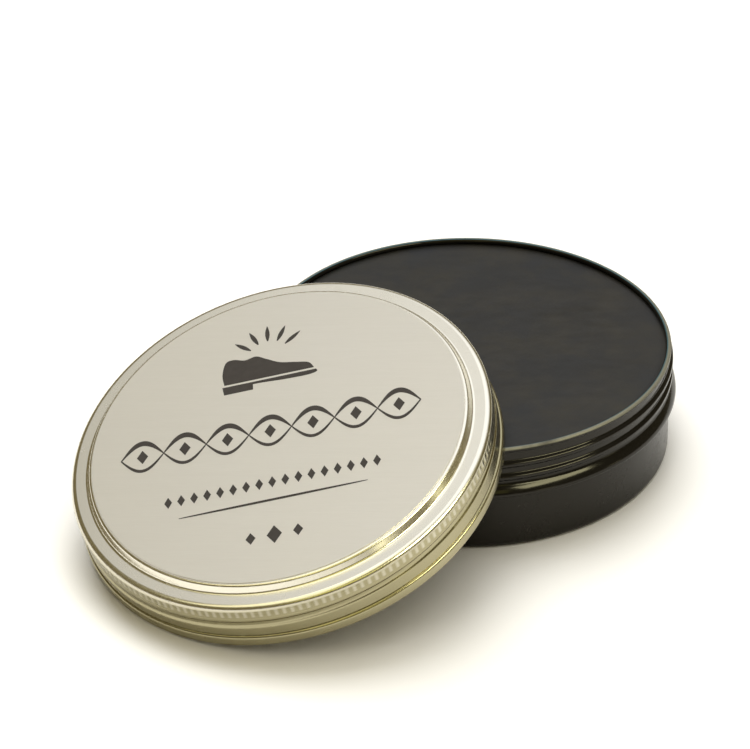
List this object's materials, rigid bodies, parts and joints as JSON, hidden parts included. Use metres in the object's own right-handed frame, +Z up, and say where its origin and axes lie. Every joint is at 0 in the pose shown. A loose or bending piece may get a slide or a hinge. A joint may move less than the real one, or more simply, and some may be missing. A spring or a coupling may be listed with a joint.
{
  "type": "shoe polish tin",
  "caption": "Round metal screw-lid tin filled with solid dark polish, with its printed lid taken off and leaning on the threaded base.",
  "frame": {"origin": "centre of the base can's flat foot, on the surface that it stands on", "axes": "+Z up the base can's axis; the lid leans on the can from the -X -Y side, 133 degrees clockwise from +X seen from above"},
  "size_m": [0.1156, 0.1179, 0.037],
  "materials": {
    "base_lacquer": "satin black lacquer on drawn aluminium, worn bare on the rim's edge",
    "polish": "solid wax polish, nearly black, dull sheen",
    "lid_metal": "smooth bright aluminium",
    "lid_print": "fine straight brushed foil with a satin coat and dark printed ornament",
    "liner_foam": "white closed-cell foam"
  },
  "bodies": {
    "base": {"base_can": "base_lacquer", "polish": "polish"},
    "liner": {"lid_liner": "liner_foam"},
    "lid": {"lid_shell": "lid_metal", "lid_label": "lid_print"}
  },
  "joints": [
    {"name": "lid_lift", "type": "slide", "parent": "base", "child": "liner", "axis": [-0.2299, -0.2465, 0.9415], "range_m": [0, 0.06]},
    {"name": "lid_turn", "type": "hinge", "parent": "liner", "child": "lid", "pos_m": [-0.03265, -0.03501, 0.01378], "axis": [-0.2299, -0.2465, 0.9415], "continuous": true}
  ]
}
